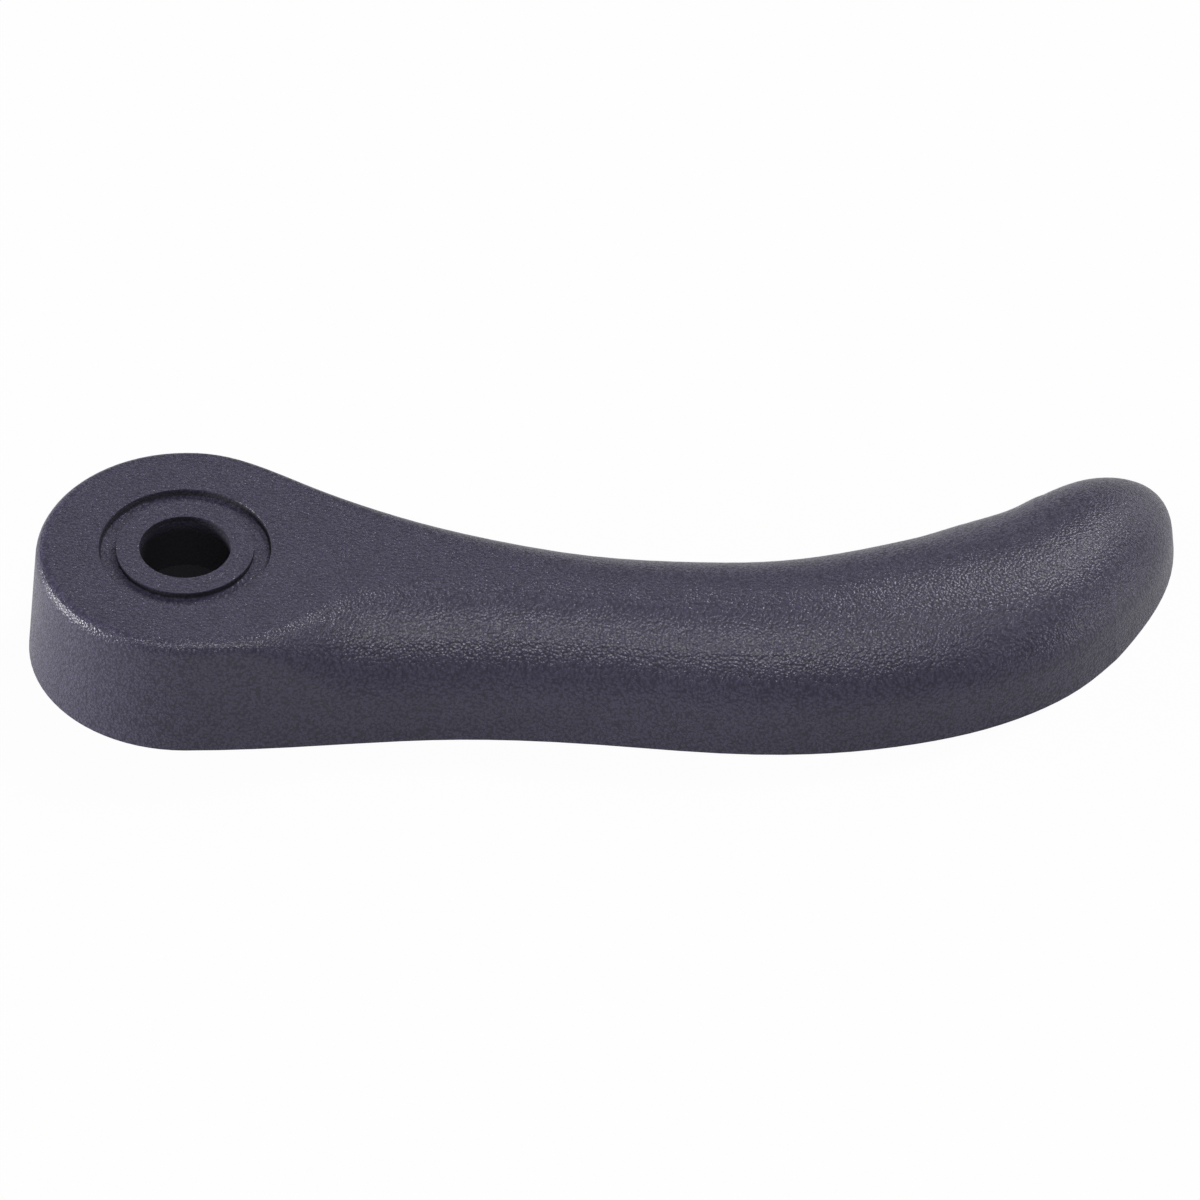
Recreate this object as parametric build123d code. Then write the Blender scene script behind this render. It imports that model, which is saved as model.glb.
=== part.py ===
from build123d import *
import math
import os

# Sizes are in millimetres and angles in degrees.
# The origin is on the shaft axis at the back face. +X runs along the arm,
# +Y is the side the tip curves to and +Z comes out of the front face.

# Round head over the shaft
head_radius = 20.5
head_height = 17.2
head_edge_round = 1.7
draft_angle = 3.6

# Outer edge of the arm, seen from the front
waist_x = 36.0
waist_y = -18.4
belly_x = 78.0
belly_y = -20.8
first_bend_along = 0.47
first_bend_across = 0.134
second_bend_along = 0.793
second_bend_across = 0.493
outer_end_x = 121.1
outer_end_y = -3.0

# Inner edge of the arm, seen from the front
leave_angle = 57.6
shoulder_x = 28.0
shoulder_y = 9.6
hollow_start_x = 54.0
hollow_start_y = 5.6
hollow_end_x = 78.0
hollow_end_y = 5.25
knuckle_along = 0.63
knuckle_across = 0.465
inner_end_x = 111.0
inner_end_y = 19.9

# Nose: the rounded end beyond the two edges
nose_heading = 54.3
nose_length = 20.1
nose_height = 13.7
nose_wall_height = 5.85

# Arch of the arm: how far its rounding reaches in and down
arch_rise = 11.3
outer_round_reach = 11.3
crest_flat = 0.4

# Places along the arm, as shares of its length
outer_round_from = 0.055
outer_round_to = 0.19
arch_closed_at = 0.42
inner_round_from = 0.07
fall_from = 0.60
inner_edge_lead = 0.5

# Front of the head: screw seat and the ring groove around it
seat_radius = 6.0
seat_depth = 8.5
screw_hole_radius = 2.75
ring_radius = 9.0
groove_width = 2.3
groove_depth = 1.0
groove_taper = 0.3

# Back: shell, hub, shaft socket and ribs
wall = 2.4
face_thickness = 2.8
least_inner_round = 0.8
hub_radius = 9.3
web_thickness = 2.2
socket_width = 8.2
socket_corner = 0.25
rib_thickness = 1.6
head_rib_count = 4
first_head_rib_angle = 45.0
head_rib_overrun = 1.4
first_cross_rib = 24.0
cross_rib_pitch = 17.5
nose_pocket_steps = (0.55, 0.8)
nose_pocket_margin = 0.22

section_count = 18
head_hollow_sections = 6
section_crowding = 1.25
ARC_HANDLE = 0.53
through = 1.0


def draft_slope():
    return math.tan(math.radians(draft_angle))


def smooth(value, start, end):
    share = min(max((value - start) / (end - start), 0.0), 1.0)
    return share * share * (3.0 - 2.0 * share)


def heading():
    angle = math.radians(nose_heading)
    return Vector(math.cos(angle), math.sin(angle), 0)


def outer_end():
    return Vector(outer_end_x, outer_end_y, 0)


def inner_end():
    return Vector(inner_end_x, inner_end_y, 0)


def outer_edge():
    start = Vector(0, -head_radius, 0)
    belly = Vector(belly_x, belly_y, 0)
    run = outer_end() - belly
    first = belly + Vector(run.X * first_bend_along, run.Y * first_bend_across, 0)
    second = belly + Vector(run.X * second_bend_along, run.Y * second_bend_across, 0)
    points = [start, Vector(waist_x, waist_y, 0), belly, first, second, outer_end()]
    return Spline(points, tangents=[Vector(1, 0, 0), heading()])


def inner_edge():
    angle = math.radians(leave_angle)
    start = Vector(head_radius * math.cos(angle), head_radius * math.sin(angle), 0)
    hollow_end = Vector(hollow_end_x, hollow_end_y, 0)
    run = inner_end() - hollow_end
    knuckle = hollow_end + Vector(run.X * knuckle_along, run.Y * knuckle_across, 0)
    points = [
        start,
        Vector(shoulder_x, shoulder_y, 0),
        Vector(hollow_start_x, hollow_start_y, 0),
        hollow_end,
        knuckle,
        inner_end(),
    ]
    leaving = Vector(math.sin(angle), -math.cos(angle), 0)
    return Spline(points, tangents=[leaving, heading()])


OUTER_EDGE = outer_edge()
INNER_EDGE = inner_edge()


def head_arc_length():
    return head_radius * math.radians(90 - leave_angle)


def arm_length():
    inner = head_arc_length() + INNER_EDGE.length
    return (OUTER_EDGE.length + inner) / 2


def outer_place(share):
    return OUTER_EDGE @ share, OUTER_EDGE % share


def inner_place(share):
    # The inner edge follows the head's circle first, then its own curve.
    ahead = share + inner_edge_lead * share * (1 - share)
    travelled = ahead * (head_arc_length() + INNER_EDGE.length)
    if travelled < head_arc_length():
        angle = math.pi / 2 - travelled / head_radius
        point = Vector(math.cos(angle), math.sin(angle), 0) * head_radius
        return point, Vector(math.sin(angle), -math.cos(angle), 0)
    place = min((travelled - head_arc_length()) / INNER_EDGE.length, 1.0)
    return INNER_EDGE @ place, INNER_EDGE % place


def crest_height(share):
    fall = max(share - fall_from, 0.0) / (1 - fall_from)
    return head_height - (head_height - nose_height) * fall * fall


def wall_height(share):
    fall = max(share - fall_from, 0.0) / (1 - fall_from)
    arm_wall = head_height - arch_rise
    return arm_wall + (nose_wall_height - arm_wall) * fall * fall


def crest_slope_at_nose():
    outer_rate = OUTER_EDGE.length
    inner_rate = (1 - inner_edge_lead) * (head_arc_length() + INNER_EDGE.length)
    rate = (outer_rate + inner_rate) / 2
    return 2 * (head_height - nose_height) / ((1 - fall_from) * rate)


def side_points(height, reach, rise, inset, foot):
    # Half of a cross-section, as (distance in from the edge, height) pairs:
    # foot, top of the drafted wall, two curve handles and the crest.
    lean = draft_slope()
    wall_top = height - rise
    at_wall_top = inset + wall_top * lean
    return [
        (inset + foot * lean, foot),
        (at_wall_top, wall_top),
        (at_wall_top + ARC_HANDLE * rise * lean, wall_top + ARC_HANDLE * rise),
        (at_wall_top + reach * (1 - ARC_HANDLE), height),
        (at_wall_top + reach, height),
    ]


def shelled(height, reach, rise, inset, gap):
    # Shrinks a side by the wall when the hollow is wanted.
    if inset == 0:
        return height, reach, rise
    inner_reach = max(reach - inset, least_inner_round)
    inner_rise = max(rise - gap, least_inner_round)
    return height - gap, inner_reach, inner_rise


def arch_edges(start, first, second, end, inset):
    # One curve in two halves outside, and two flats through its ends and middle
    # in the hollow.
    low = (start + first) / 2
    between = (first + second) / 2
    high = (second + end) / 2
    before = (low + between) / 2
    after = (between + high) / 2
    middle = (before + after) / 2
    if inset == 0:
        return [Bezier(start, low, before, middle), Bezier(middle, after, high, end)]
    return [Line(start, middle), Line(middle, end)]


def arm_section(share, inset, gap, foot):
    outer_point, outer_way = outer_place(share)
    inner_point, inner_way = inner_place(share)
    span = inner_point - outer_point
    width = span.length
    across = span.normalized()
    outer_stretch = 1 / across.dot(Vector(-outer_way.Y, outer_way.X, 0))
    inner_stretch = 1 / across.dot(Vector(-inner_way.Y, inner_way.X, 0))
    height = crest_height(share)
    wall_top = wall_height(share)
    arch = (width - crest_flat) / (outer_stretch + inner_stretch) - wall_top * draft_slope()
    closing = smooth(share, outer_round_to, arch_closed_at)
    outer_full = outer_round_reach + (arch - outer_round_reach) * closing
    outer_growth = smooth(share, outer_round_from, outer_round_to)
    inner_growth = smooth(share, inner_round_from, arch_closed_at)
    outer_reach = head_edge_round + (outer_full - head_edge_round) * outer_growth
    inner_reach = head_edge_round + (arch - head_edge_round) * inner_growth
    full_rise = height - wall_top
    outer_rise = head_edge_round + (full_rise - head_edge_round) * outer_growth
    inner_rise = head_edge_round + (full_rise - head_edge_round) * inner_growth

    outer_side = side_points(*shelled(height, outer_reach, outer_rise, inset, gap), inset, foot)
    inner_side = side_points(*shelled(height, inner_reach, inner_rise, inset, gap), inset, foot)
    near = []
    for distance, z in outer_side:
        near.append(outer_point + across * (distance * outer_stretch) + Vector(0, 0, z))
    far = []
    for distance, z in inner_side:
        far.append(inner_point - across * (distance * inner_stretch) + Vector(0, 0, z))
    return Wire(
        [
            Line(far[0], near[0]),
            Line(near[0], near[1]),
            *arch_edges(near[1], near[2], near[3], near[4], inset),
            Line(near[4], far[4]),
            *arch_edges(far[4], far[3], far[2], far[1], inset),
            Line(far[1], far[0]),
        ]
    )


def arm_body():
    sections = []
    for step in range(section_count + 1):
        share = (step / section_count) ** section_crowding
        sections.append(arm_section(share, 0, 0, 0))
    return Solid.make_loft(sections)


def half_turn(radius, height, reach, rise, inset, gap, foot):
    # Half of a round body about +Z, on the -X side of the YZ plane.
    sizes = shelled(height, reach, rise, inset, gap)
    points = []
    for distance, z in side_points(*sizes, inset, foot):
        points.append(Vector(0, radius - distance, z))
    axis_foot = Vector(0, 0, foot)
    axis_top = Vector(0, 0, points[4].Z)
    outline = Wire(
        [
            Line(axis_foot, points[0]),
            Line(points[0], points[1]),
            *arch_edges(points[1], points[2], points[3], points[4], inset),
            Line(points[4], axis_top),
            Line(axis_top, axis_foot),
        ]
    )
    return revolve(Face(outline), Axis.Z, 180)


def nose_body():
    # A half round body, stretched along the nose's heading, slanted to the last
    # section and falling with the crest, so it carries the arm on without an edge.
    forward = heading()
    half_span = (inner_end() - outer_end()) / 2
    radius = half_span.dot(Vector(-forward.Y, forward.X, 0))
    reach = radius * (1 - crest_flat / 2 / half_span.length) - nose_wall_height * draft_slope()
    rise = nose_height - nose_wall_height
    turned = half_turn(radius, nose_height, reach, rise, 0, 0, 0)
    stretch = nose_length / radius
    fall = crest_slope_at_nose() * stretch
    slant = Matrix(
        [
            [-stretch * forward.X, half_span.X / radius, 0, 0],
            [-stretch * forward.Y, half_span.Y / radius, 0, 0],
            [fall, 0, 1, 0],
        ]
    )
    nose = turned.transform_geometry(slant)
    size = 4 * (nose_length + radius)
    nose -= Pos(0, 0, -nose_height) * Box(size, size, 2 * nose_height)
    centre = (outer_end() + inner_end()) / 2
    return Pos(centre.X, centre.Y, 0) * nose


def moulding():
    head = half_turn(head_radius, head_height, head_edge_round, head_edge_round, 0, 0, 0)
    return head + arm_body() + nose_body()


def hub():
    return extrude(Circle(hub_radius), head_height - face_thickness / 2)


def head_ribs():
    # Spokes from the hub to the wall.
    ribs = []
    length = head_radius * head_rib_overrun
    step = (360 - 2 * first_head_rib_angle) / (head_rib_count - 1)
    for index in range(head_rib_count):
        angle = first_head_rib_angle + index * step
        rib = Pos(length / 2, 0, head_height / 2)
        ribs.append(Rot(0, 0, angle) * rib * Box(length, rib_thickness, head_height))
    return ribs


def cross_rib_places():
    count = int((arm_length() - first_cross_rib) / cross_rib_pitch) + 1
    return [first_cross_rib + index * cross_rib_pitch for index in range(count)]


def hollow_section(distance):
    return arm_section(distance / arm_length(), wall, face_thickness, -through)


def head_hollow():
    # The round end and the arm up to its first cross rib, around the hub.
    edge = head_edge_round
    space = half_turn(head_radius, head_height, edge, edge, wall, face_thickness, -through)
    length = first_cross_rib - rib_thickness / 2
    sections = []
    for step in range(head_hollow_sections + 1):
        sections.append(hollow_section(length * step / head_hollow_sections))
    space += Solid.make_loft(sections)
    space -= hub()
    for rib in head_ribs():
        space -= rib
    return space


def arm_pockets():
    # One straight-sided pocket between each pair of cross ribs.
    places = cross_rib_places()
    pockets = []
    for here, following in zip(places[:-1], places[1:]):
        start = hollow_section(here + rib_thickness / 2)
        end = hollow_section(following - rib_thickness / 2)
        pockets.append(Solid.make_loft([start, end], ruled=True))
    return pockets


def nose_pocket():
    # Narrows and drops towards the tip in straight steps.
    start = hollow_section(cross_rib_places()[-1] + rib_thickness / 2)
    end = hollow_section(arm_length())
    centre = (outer_end() + inner_end()) / 2
    sections = [start, end]
    for ahead in nose_pocket_steps:
        left_over = math.sqrt(1 - ahead * ahead) - nose_pocket_margin
        move = centre * (1 - left_over) + heading() * nose_length * ahead
        narrowed = Pos(move) * scale(end, by=left_over)
        sections.append(Wire(narrowed.edges()))
    return Solid.make_loft(sections, ruled=True)


def ring_groove():
    outer = ring_radius + groove_width
    top = head_height
    bottom = head_height - groove_depth
    outline = Polyline(
        (ring_radius, 0, bottom),
        (outer - groove_taper, 0, bottom),
        (outer, 0, top),
        (outer, 0, top + through),
        (ring_radius, 0, top + through),
        close=True,
    )
    return revolve(Face(Wire(outline.edges())), Axis.Z, 360)


def screw_seat():
    seat = Pos(0, 0, head_height - seat_depth) * extrude(Circle(seat_radius), seat_depth + through)
    hole = extrude(Circle(screw_hole_radius), head_height)
    return seat + hole


def shaft_socket():
    # Square, open at the back.
    depth = head_height - seat_depth - web_thickness
    outline = RectangleRounded(socket_width, socket_width, socket_corner)
    return Pos(0, 0, -through) * extrude(outline, depth + through)


def pull_handle():
    handle = moulding()
    handle -= head_hollow()
    for pocket in arm_pockets():
        handle -= pocket
    handle -= nose_pocket()
    handle -= ring_groove()
    handle -= screw_seat()
    handle -= shaft_socket()
    return handle


os.makedirs("parts", exist_ok=True)
export_step(pull_handle(), "parts/pull_handle.step")
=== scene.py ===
import math

import bmesh
import bpy
from mathutils import Matrix, Vector

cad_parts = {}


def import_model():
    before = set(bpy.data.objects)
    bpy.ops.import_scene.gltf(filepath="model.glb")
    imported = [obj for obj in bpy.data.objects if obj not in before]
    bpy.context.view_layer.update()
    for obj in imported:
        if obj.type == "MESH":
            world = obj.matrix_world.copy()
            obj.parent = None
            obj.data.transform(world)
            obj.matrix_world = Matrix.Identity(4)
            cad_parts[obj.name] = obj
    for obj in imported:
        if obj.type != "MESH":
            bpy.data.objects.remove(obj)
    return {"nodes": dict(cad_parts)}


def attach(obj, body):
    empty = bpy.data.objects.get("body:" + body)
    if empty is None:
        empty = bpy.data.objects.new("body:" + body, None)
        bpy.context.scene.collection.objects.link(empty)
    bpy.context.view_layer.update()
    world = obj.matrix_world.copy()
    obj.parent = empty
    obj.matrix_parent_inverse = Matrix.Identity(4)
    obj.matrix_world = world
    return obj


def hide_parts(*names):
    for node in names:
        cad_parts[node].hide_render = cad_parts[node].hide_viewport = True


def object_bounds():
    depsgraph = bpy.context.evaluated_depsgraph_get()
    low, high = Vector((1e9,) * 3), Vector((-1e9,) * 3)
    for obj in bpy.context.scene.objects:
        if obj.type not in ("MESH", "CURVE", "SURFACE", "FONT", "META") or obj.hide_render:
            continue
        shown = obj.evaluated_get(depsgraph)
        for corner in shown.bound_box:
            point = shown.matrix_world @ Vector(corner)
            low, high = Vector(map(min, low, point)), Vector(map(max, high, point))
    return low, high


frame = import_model()
cad_low, cad_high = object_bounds()

MM = 0.001
WELD_DISTANCE = 0.0005 * MM

# Camera, at the photograph's viewing angle in degrees
CAMERA_ELEVATION = 42.0
CAMERA_DISTANCE = 5.0
CAMERA_CLIP_START = 0.1
CAMERA_CLIP_END = 30.0
PICTURE_WIDTH = 156.5 * MM
PICTURE_CENTRE = Vector((54.05 * MM, 0.0, 7.92 * MM))
SENSOR_WIDTH = 36.0

# Pebble grain moulded into the surface
GRAIN_CELL = 0.38 * MM
GRAIN_DEPTH = 0.085 * MM
MOTTLE_SIZE = 3.2 * MM

# The grain's pattern, with one pebble as its unit
WANDER_SCALE = 0.9
WANDER_DETAIL = 1.0
WANDER_SHIFT = 0.55
FINE_SCALE = 2.3
FINE_DETAIL = 2.0
FINE_SHARE = 0.35
MOTTLE_DETAIL = 3.0

# Charcoal plastic, with its colour at two points of the mottle
PLASTIC_IOR = 1.42
PLASTIC_TINTS = (
    (0.3, (0.0470, 0.0425, 0.0725, 1.0)),
    (0.7, (0.0520, 0.0475, 0.0805, 1.0)),
)

# Pebble tops are glossier than the valleys between them, and their colour has a painted
# highlight on the tops and painted shade in the valleys
PEBBLE_TOP = 0.1
PEBBLE_FOOT = 0.7
TOP_PAINTED_LIGHT = 1.30
FOOT_PAINTED_SHADE = 0.55
TOP_ROUGHNESS = 0.22
FOOT_ROUGHNESS = 0.40

# Painted shade darkens the recesses in the front of the head, which are also matt inside
SHADE_COLOUR = (0.004, 0.004, 0.007, 1.0)
SHADE_ROUGHNESS = 0.6

# Screw seat, with painted shade that grows darker with depth
SEAT_RADIUS = 6.3 * MM
SEAT_SHADE_FROM = 0.4 * MM
SEAT_SHADE_FULL = 2.5 * MM

# Groove for a cap around the seat, with painted shade on its walls and none on its floor
GROOVE_RADIUS = 13.0 * MM
GROOVE_DEPTH = 1.0 * MM
GROOVE_EDGE = 0.08 * MM
GROOVE_BLEND = 0.15 * MM
GROOVE_PAINTED_SHADE = 0.8

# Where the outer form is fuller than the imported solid, by up to 1.6 mm:
# name, middle seen from the front, reach and push, all in millimetres
SWELLS = (
    ("neck", (104.1, 15.4), 15.0, (-0.8, 1.4)),
    ("tip side", (122.5, 12.9), 20.0, (0.9, 0.6)),
    ("tip end", (124.0, 27.0), 13.0, (0.8, -0.5)),
    ("heel", (114.0, -8.0), 17.0, (0.9, 0.5)),
    ("inner side", (68.0, 7.0), 24.0, (0.0, 0.55)),
    ("belly", (75.0, -20.0), 30.0, (0.0, -0.55)),
)

# Studio
WHITE = (1.0, 1.0, 1.0, 1.0)
FLOOR_SIZE = 6.0
FLOOR_GAP = 0.05 * MM
FLOOR_PAPER = (0.60, 0.60, 0.60, 1.0)
PAPER_WHITE_SHARE = 0.96
PAPER_GLOSSY_SHARE = 0.35
WORLD_LEVEL = 0.02

# Softboxes: name, azimuth and elevation in degrees, distance, width and height in
# metres, and the brightness of the face, where 1 is white. Azimuth 0 is the camera's
# side and 90 is the right-hand side.
SOFTBOXES = (
    ("front_top", 0.0, 60.0, 2.4, 0.8, 0.35, 36.0),
    ("front_right", 50.0, 50.0, 2.4, 0.75, 0.75, 2.2),
    ("front_left", 310.0, 50.0, 2.4, 0.75, 0.75, 1.8),
    ("top_right", 70.0, 72.0, 2.4, 0.75, 0.75, 2.0),
    ("right_back", 138.0, 46.0, 2.4, 0.4, 0.4, 52.0),
    ("right_back_low", 138.0, 20.0, 2.4, 0.8, 0.75, 3.2),
    ("right_low", 88.0, 8.0, 2.4, 0.9, 0.5, 9.0),
    ("back_left", 190.0, 42.0, 1.0, 0.35, 0.35, 1.9),
    ("left_low", 270.0, 6.5, 2.4, 1.2, 0.45, 52.0),
)


def new_material(name):
    material = bpy.data.materials.new(name)
    material.use_nodes = True
    nodes = material.node_tree.nodes
    nodes.clear()
    output = nodes.new("ShaderNodeOutputMaterial")
    return material, nodes, material.node_tree.links, output


def new_group(name, inputs, outputs):
    # A shader node group whose sockets are all plain numbers.
    group = bpy.data.node_groups.new(name, "ShaderNodeTree")
    for in_out, names in (("INPUT", inputs), ("OUTPUT", outputs)):
        for socket in names:
            group.interface.new_socket(
                socket, in_out=in_out, socket_type="NodeSocketFloat"
            )
    inward = group.nodes.new("NodeGroupInput")
    outward = group.nodes.new("NodeGroupOutput")
    return group, inward.outputs, outward.inputs


def place_group(nodes, group, values):
    node = nodes.new("ShaderNodeGroup")
    node.node_tree = group
    for socket, value in values.items():
        node.inputs[socket].default_value = value
    return node.outputs


def feed(links, socket, value):
    if isinstance(value, (int, float)):
        socket.default_value = value
    else:
        links.new(value, socket)


def math_node(nodes, links, operation, first, second=0.0):
    node = nodes.new("ShaderNodeMath")
    node.operation = operation
    feed(links, node.inputs[0], first)
    feed(links, node.inputs[1], second)
    return node.outputs[0]


def range_node(nodes, links, value, start, end, at_start=0.0, at_end=1.0):
    node = nodes.new("ShaderNodeMapRange")
    feed(links, node.inputs["Value"], value)
    feed(links, node.inputs["From Min"], start)
    feed(links, node.inputs["From Max"], end)
    feed(links, node.inputs["To Min"], at_start)
    feed(links, node.inputs["To Max"], at_end)
    return node.outputs["Result"]


def noise_node(nodes, links, vector, scale, detail):
    node = nodes.new("ShaderNodeTexNoise")
    links.new(vector, node.inputs["Vector"])
    feed(links, node.inputs["Scale"], scale)
    feed(links, node.inputs["Detail"], detail)
    return node.outputs


def pebble_grain_group():
    # Rounded pebbles a few tenths of a millimetre across, from Object coordinates.
    group, inward, outward = new_group(
        "Pebble grain", ("Cell Size", "Mottle Size"), ("Height", "Valley", "Mottle")
    )
    nodes = group.nodes
    links = group.links
    place = nodes.new("ShaderNodeTexCoord")
    per_cell = math_node(nodes, links, "DIVIDE", 1.0, inward["Cell Size"])
    per_mottle = math_node(nodes, links, "DIVIDE", 1.0, inward["Mottle Size"])

    in_cells = nodes.new("ShaderNodeVectorMath")
    in_cells.operation = "SCALE"
    links.new(place.outputs["Object"], in_cells.inputs[0])
    links.new(per_cell, in_cells.inputs["Scale"])

    wander = noise_node(nodes, links, in_cells.outputs[0], WANDER_SCALE, WANDER_DETAIL)
    shifted = nodes.new("ShaderNodeMixRGB")
    shifted.blend_type = "ADD"
    shifted.inputs["Fac"].default_value = WANDER_SHIFT
    links.new(in_cells.outputs[0], shifted.inputs["Color1"])
    links.new(wander["Color"], shifted.inputs["Color2"])

    pebbles = nodes.new("ShaderNodeTexVoronoi")
    pebbles.feature = "F1"
    pebbles.inputs["Scale"].default_value = 1.0
    links.new(shifted.outputs[0], pebbles.inputs["Vector"])

    fine = noise_node(nodes, links, in_cells.outputs[0], FINE_SCALE, FINE_DETAIL)
    domes = math_node(nodes, links, "SUBTRACT", 1.0, pebbles.outputs["Distance"])
    rough = math_node(nodes, links, "MULTIPLY", fine["Fac"], FINE_SHARE)
    height = math_node(nodes, links, "ADD", domes, rough)
    cloud = noise_node(nodes, links, place.outputs["Object"], per_mottle, MOTTLE_DETAIL)
    links.new(height, outward["Height"])
    links.new(pebbles.outputs["Distance"], outward["Valley"])
    links.new(cloud["Fac"], outward["Mottle"])
    return group


def deep_shade_group():
    # A mask for painted shade: 0 above Start Height and 1 below Full Height, within Radius
    # of the head's axis.
    group, inward, outward = new_group(
        "Deep shade", ("Radius", "Start Height", "Full Height"), ("Inside",)
    )
    nodes = group.nodes
    links = group.links
    place = nodes.new("ShaderNodeTexCoord")
    parts = nodes.new("ShaderNodeSeparateXYZ")
    links.new(place.outputs["Object"], parts.inputs[0])
    x, y, z = parts.outputs
    x_square = math_node(nodes, links, "MULTIPLY", x, x)
    y_square = math_node(nodes, links, "MULTIPLY", y, y)
    squares = math_node(nodes, links, "ADD", x_square, y_square)
    away = math_node(nodes, links, "SQRT", squares)
    within = math_node(nodes, links, "LESS_THAN", away, inward["Radius"])
    depth = range_node(nodes, links, z, inward["Start Height"], inward["Full Height"])
    inside = math_node(nodes, links, "MULTIPLY", within, depth)
    links.new(inside, outward["Inside"])
    return group


def recess_shade(nodes, links, deep_shade):
    # Painted shade: the seat's, and the groove's between its top edge and its floor.
    floor_edge = GROOVE_DEPTH - GROOVE_EDGE
    seat, groove_top, groove_floor = (
        place_group(nodes, deep_shade, {
            "Radius": radius,
            "Start Height": cad_high.z - start,
            "Full Height": cad_high.z - full,
        })["Inside"]
        for radius, start, full in (
            (SEAT_RADIUS, SEAT_SHADE_FROM, SEAT_SHADE_FULL),
            (GROOVE_RADIUS, GROOVE_EDGE, GROOVE_EDGE + GROOVE_BLEND),
            (GROOVE_RADIUS, floor_edge - GROOVE_BLEND, floor_edge),
        )
    )
    wall = math_node(nodes, links, "SUBTRACT", groove_top, groove_floor)
    groove = math_node(nodes, links, "MULTIPLY", wall, GROOVE_PAINTED_SHADE)
    return math_node(nodes, links, "MAXIMUM", seat, groove)


def moulded_plastic(grain, deep_shade):
    material, nodes, links, output = new_material("Charcoal moulded plastic")
    shader = nodes.new("ShaderNodeBsdfPrincipled")
    shader.inputs["IOR"].default_value = PLASTIC_IOR
    links.new(shader.outputs[0], output.inputs["Surface"])

    pebbles = place_group(
        nodes, grain, {"Cell Size": GRAIN_CELL, "Mottle Size": MOTTLE_SIZE}
    )
    valley = pebbles["Valley"]
    shade = recess_shade(nodes, links, deep_shade)

    tint = nodes.new("ShaderNodeValToRGB")
    for element, (position, colour) in zip(tint.color_ramp.elements, PLASTIC_TINTS):
        element.position = position
        element.color = colour
    links.new(pebbles["Mottle"], tint.inputs["Fac"])

    # Painted highlight on the pebble tops and painted shade in their valleys, multiplied
    # into the colour
    grain_light_and_shade = nodes.new("ShaderNodeMixRGB")
    grain_light_and_shade.blend_type = "MULTIPLY"
    grain_light_and_shade.inputs["Fac"].default_value = 1.0
    pebble_light_shade_factor = range_node(
        nodes, links, valley, PEBBLE_TOP, PEBBLE_FOOT, TOP_PAINTED_LIGHT, FOOT_PAINTED_SHADE
    )
    links.new(tint.outputs["Color"], grain_light_and_shade.inputs["Color1"])
    links.new(pebble_light_shade_factor, grain_light_and_shade.inputs["Color2"])

    # Painted shade in the screw seat and on the groove's walls, mixed into the colour
    painted_shade = nodes.new("ShaderNodeMixRGB")
    painted_shade.inputs["Color2"].default_value = SHADE_COLOUR
    links.new(shade, painted_shade.inputs["Fac"])
    links.new(grain_light_and_shade.outputs["Color"], painted_shade.inputs["Color1"])
    links.new(painted_shade.outputs["Color"], shader.inputs["Base Color"])

    gloss = range_node(
        nodes, links, valley, PEBBLE_TOP, PEBBLE_FOOT, TOP_ROUGHNESS, FOOT_ROUGHNESS
    )
    duller = math_node(nodes, links, "MULTIPLY", shade, SHADE_ROUGHNESS)
    roughness = math_node(nodes, links, "ADD", gloss, duller)
    links.new(roughness, shader.inputs["Roughness"])

    bump = nodes.new("ShaderNodeBump")
    bump.inputs["Strength"].default_value = 1.0
    bump.inputs["Distance"].default_value = GRAIN_DEPTH
    links.new(pebbles["Height"], bump.inputs["Height"])
    links.new(bump.outputs["Normal"], shader.inputs["Normal"])
    return material


def paper():
    # Lit as grey paper, and seen as plain white by the camera and by reflections.
    material, nodes, links, output = new_material("White paper")
    matt = nodes.new("ShaderNodeBsdfDiffuse")
    matt.inputs["Color"].default_value = FLOOR_PAPER
    white = nodes.new("ShaderNodeEmission")
    rays = nodes.new("ShaderNodeLightPath").outputs
    mirrored = math_node(
        nodes, links, "MULTIPLY", rays["Is Glossy Ray"], PAPER_GLOSSY_SHARE
    )
    seen = math_node(nodes, links, "MAXIMUM", rays["Is Camera Ray"], mirrored)
    seen = math_node(nodes, links, "MAXIMUM", seen, rays["Is Transmission Ray"])
    share = math_node(nodes, links, "MULTIPLY", seen, PAPER_WHITE_SHARE)
    blend = nodes.new("ShaderNodeMixShader")
    links.new(share, blend.inputs["Fac"])
    links.new(matt.outputs[0], blend.inputs[1])
    links.new(white.outputs[0], blend.inputs[2])
    links.new(blend.outputs[0], output.inputs["Surface"])
    return material


def floor():
    half = FLOOR_SIZE / 2
    corners = [(-half, -half), (half, -half), (half, half), (-half, half)]
    level = cad_low.z - FLOOR_GAP
    mesh = bpy.data.meshes.new("floor")
    mesh.from_pydata([(x, y, level) for x, y in corners], [], [(0, 1, 2, 3)])
    mesh.materials.append(paper())
    sheet = bpy.data.objects.new("floor", mesh)
    bpy.context.scene.collection.objects.link(sheet)


def aim(thing, azimuth, elevation, distance):
    # Stands a lamp or the camera off from the picture's middle, facing it.
    turn = math.radians(azimuth)
    lift = math.radians(elevation)
    level = math.cos(lift)
    away = Vector((math.sin(turn) * level, -math.cos(turn) * level, math.sin(lift)))
    thing.location = PICTURE_CENTRE + away * distance
    thing.rotation_mode = "QUATERNION"
    thing.rotation_quaternion = away.to_track_quat("Z", "Y")
    bpy.context.scene.collection.objects.link(thing)


def softbox(name, azimuth, elevation, distance, width, height, level):
    lamp = bpy.data.lights.new(name, "AREA")
    lamp.shape = "RECTANGLE"
    lamp.size = width
    lamp.size_y = height
    lamp.energy = level * math.pi * width * height
    aim(bpy.data.objects.new(name, lamp), azimuth, elevation, distance)


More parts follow.
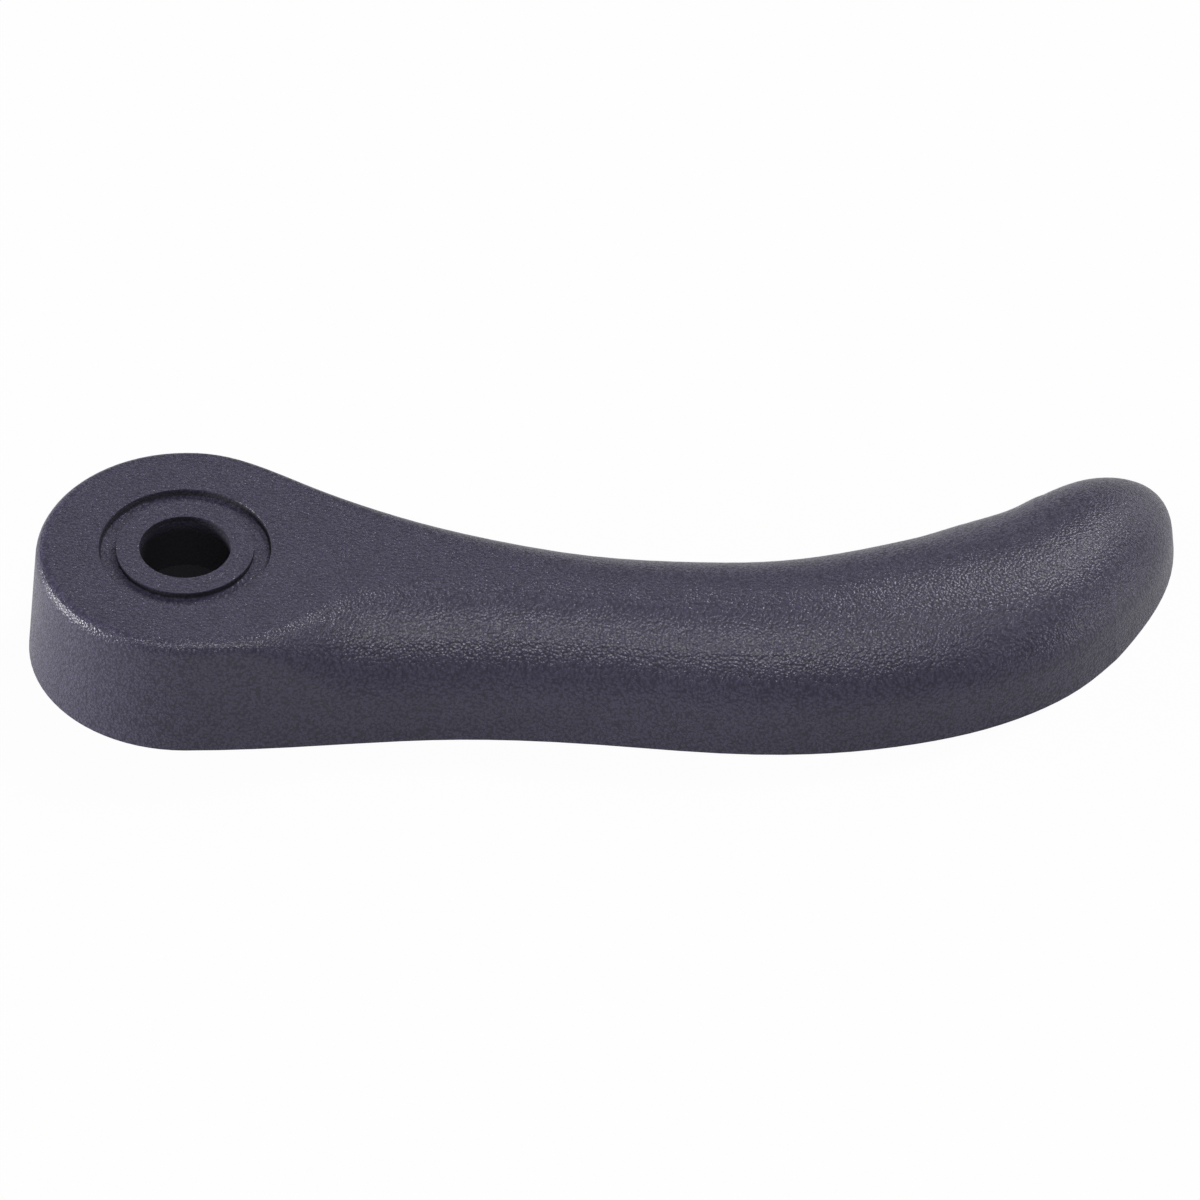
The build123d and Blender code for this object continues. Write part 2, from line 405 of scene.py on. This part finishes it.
def world():
    made = bpy.data.worlds.new("Studio")
    made.use_nodes = True
    nodes = made.node_tree.nodes
    links = made.node_tree.links
    nodes.clear()
    output = nodes.new("ShaderNodeOutputWorld")
    rays = nodes.new("ShaderNodeLightPath")
    blend = nodes.new("ShaderNodeMixShader")
    links.new(rays.outputs["Is Camera Ray"], blend.inputs["Fac"])
    for place, strength in ((1, WORLD_LEVEL), (2, 1.0)):
        sky = nodes.new("ShaderNodeBackground")
        sky.inputs["Color"].default_value = WHITE
        sky.inputs["Strength"].default_value = strength
        links.new(sky.outputs[0], blend.inputs[place])
    links.new(blend.outputs[0], output.inputs["Surface"])
    bpy.context.scene.world = made


def camera():
    lens = bpy.data.cameras.new("camera")
    lens.sensor_width = SENSOR_WIDTH
    lens.lens = SENSOR_WIDTH * CAMERA_DISTANCE / PICTURE_WIDTH
    lens.clip_start = CAMERA_CLIP_START
    lens.clip_end = CAMERA_CLIP_END
    made = bpy.data.objects.new("camera", lens)
    aim(made, 0.0, CAMERA_ELEVATION, CAMERA_DISTANCE)
    bpy.context.scene.camera = made


def swell_at(place):
    # How far the surface moves at a place, and how its normals lean with it. Each swell
    # falls off as (1 - r * r) ** 3, and the lean comes from the slope of that.
    move = Vector((0.0, 0.0, 0.0))
    stretch = Matrix.Identity(3)
    for _, middle, reach, push in SWELLS:
        away = (Vector((place.x, place.y)) / MM - Vector(middle)) / reach
        left = 1.0 - away.length_squared
        if left > 0.0:
            move += Vector((push[0], push[1], 0.0)) * left**3 * MM
            for row in (0, 1):
                for column in (0, 1):
                    slope = 6.0 * left**2 * away[column] / reach
                    stretch[row][column] -= push[row] * slope
    return move, stretch.inverted().transposed()


def fuller_moulding():
    # A merged copy of the node's mesh that keeps its smooth normals.
    mesh = frame["nodes"]["pull_handle"].data.copy()
    mesh.name = "handle_moulding"
    facing = mesh.attributes.new("facing", "FLOAT_VECTOR", "CORNER")
    for loop, normal in zip(mesh.loops, mesh.corner_normals):
        lean = swell_at(mesh.vertices[loop.vertex_index].co)[1]
        facing.data[loop.index].vector = (lean @ normal.vector).normalized()
    for vertex in mesh.vertices:
        vertex.co += swell_at(vertex.co)[0]
    work = bmesh.new()
    work.from_mesh(mesh)
    bmesh.ops.remove_doubles(work, verts=work.verts, dist=WELD_DISTANCE)
    work.to_mesh(mesh)
    work.free()
    normals = [tuple(item.vector) for item in mesh.attributes["facing"].data]
    mesh.attributes.remove(mesh.attributes["facing"])
    mesh.normals_split_custom_set(normals)
    return mesh


def dress_handle():
    mesh = fuller_moulding()
    mesh.materials.clear()
    mesh.materials.append(moulded_plastic(pebble_grain_group(), deep_shade_group()))
    handle = bpy.data.objects.new("handle_moulding", mesh)
    bpy.context.scene.collection.objects.link(handle)
    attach(handle, "root")
    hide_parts("pull_handle")


dress_handle()
floor()
for box in SOFTBOXES:
    softbox(*box)
world()
camera()
bpy.context.scene.view_settings.view_transform = "Standard"
